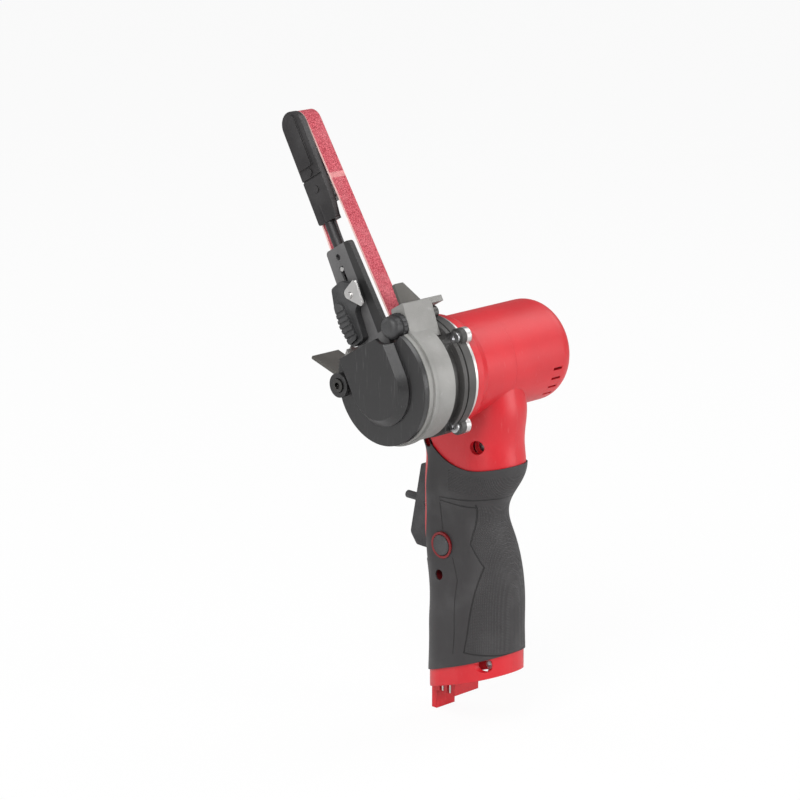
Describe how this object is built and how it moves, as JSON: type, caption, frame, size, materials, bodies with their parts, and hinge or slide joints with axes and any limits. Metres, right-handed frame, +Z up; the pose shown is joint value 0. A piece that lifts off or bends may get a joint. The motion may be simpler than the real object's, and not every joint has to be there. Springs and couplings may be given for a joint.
{
  "type": "power file",
  "caption": "Cordless pistol-grip belt file with a swivelling belt head, a narrow sanding belt on a sprung arm, a trigger and a battery socket in the foot.",
  "frame": {"origin": "middle of the battery socket's mouth in the slanted foot of the handle", "axes": "+Z up along the handle, +X along the motor axis towards the belt head (the tool's left), -Y towards the trigger (the tool's front)"},
  "size_m": [0.1156, 0.1043, 0.3063],
  "materials": {
    "red_housing": "fine moulded texture",
    "grip_rubber": "soft matt overmould with fine knurl",
    "steel": "turned and zinc plated",
    "core_steel": "laminated",
    "copper": "enamelled copper",
    "flange_metal": "die cast",
    "dark_collar": "satin dark gray",
    "black_plastic": "textured",
    "red_plastic": "smooth",
    "head_casting": "light gray coat on a casting",
    "cover_plastic": "semi gloss",
    "dark_metal": "dark gray coat",
    "pulley_metal": "turned",
    "abrasive_cloth": "red ceramic grit on cloth"
  },
  "bodies": {
    "root": {"left_housing_shell": "red_housing", "right_housing_shell": "red_housing", "left_grip_overmould": "grip_rubber", "right_grip_overmould": "grip_rubber", "housing_screws": "steel", "stator_core": "core_steel", "stator_windings": "copper", "rear_bearing": "steel", "front_bearing": "steel", "front_flange": "flange_metal", "flange_screws": "steel", "swivel_collar": "dark_collar", "switch_body": "black_plastic", "control_board": "black_plastic", "terminal_block": "red_plastic", "battery_terminals": "copper", "trigger_pivot_pin": "steel"},
    "rotor": {"rotor_shaft": "steel", "rotor_core": "core_steel", "cooling_fan": "black_plastic", "drive_pulley": "pulley_metal", "pulley_screw": "steel"},
    "head": {"head_housing": "head_casting", "spindle_bearing": "steel", "head_clamp_screw": "steel", "pulley_cover": "cover_plastic", "cover_screw": "steel", "lower_spark_deflector": "dark_metal", "upper_spark_deflector": "dark_metal", "arm_bracket": "dark_metal", "bracket_screws": "steel", "lever_pivot_pin": "steel", "tracking_stud": "steel", "sanding_belt": "abrasive_cloth", "tension_spring": "steel"},
    "knob": {"tracking_knob": "black_plastic"},
    "lever": {"release_lever": "black_plastic", "lever_cam_plate": "steel"},
    "nose": {"nose_face_plate": "dark_metal", "nose_frame": "dark_metal", "belt_platens": "steel", "nose_rivets": "steel", "guide_rod": "steel", "guide_pin": "steel", "roller_pin": "steel"},
    "roller": {"nose_roller": "pulley_metal", "roller_bearing": "steel"},
    "trigger_lever": {"trigger": "black_plastic", "lock_off_pin": "steel"},
    "lock_off": {"lock_off_lever": "black_plastic"},
    "plunger": {"switch_plunger": "black_plastic"},
    "button": {"direction_button": "black_plastic"}
  },
  "joints": [
    {"name": "rotor_spin", "type": "hinge", "parent": "root", "child": "rotor", "pos_m": [0, 0, 0.1626], "axis": [1, 0, 0], "continuous": true},
    {"name": "head_swivel", "type": "hinge", "parent": "root", "child": "head", "pos_m": [0, 0, 0.1626], "axis": [1, 0, 0], "range_deg": [-170, 170]},
    {"name": "knob_turn", "type": "hinge", "parent": "head", "child": "knob", "pos_m": [0.0604, 0.0055, 0.19187], "axis": [1, 0, 0], "range_deg": [-180, 180]},
    {"name": "lever_swing", "type": "hinge", "parent": "head", "child": "lever", "pos_m": [0.0624, -0.02125, 0.20321], "axis": [1, 0, 0], "range_deg": [-25, 0]},
    {"name": "nose_slide", "type": "slide", "parent": "head", "child": "nose", "axis": [0, -0.5, 0.866], "range_m": [-0.005, 0], "stiffness_N_per_m": 800, "springref_m": 0.006, "deforming": ["tension_spring"]},
    {"name": "roller_spin", "type": "hinge", "parent": "nose", "child": "roller", "pos_m": [0.05, -0.0667, 0.27813], "axis": [1, 0, 0], "continuous": true},
    {"name": "trigger_pull", "type": "hinge", "parent": "root", "child": "trigger_lever", "pos_m": [0, -0.0266, 0.1024], "axis": [1, 0, 0], "range_deg": [0, 9], "stiffness_Nm_per_rad": 0.2, "springref_deg": -17.19},
    {"name": "lock_off_tip", "type": "hinge", "parent": "trigger_lever", "child": "lock_off", "pos_m": [0, -0.0305, 0.085], "axis": [1, 0, 0], "range_deg": [0, 15], "stiffness_Nm_per_rad": 0.02, "springref_deg": -17.19},
    {"name": "plunger_push", "type": "slide", "parent": "root", "child": "plunger", "axis": [0, 1, 0], "range_m": [0, 0.002]},
    {"name": "button_slide", "type": "slide", "parent": "root", "child": "button", "axis": [1, 0, 0], "range_m": [-0.0025, 0.0025]}
  ],
  "couplings": [
    {"joint": "roller_spin", "follows": "rotor_spin", "ratio": 2.0769},
    {"joint": "plunger_push", "follows": "trigger_pull", "m_per_rad": 0.0125},
    {"joint": "lever_swing", "follows": "nose_slide", "rad_per_m": 87.26}
  ]
}
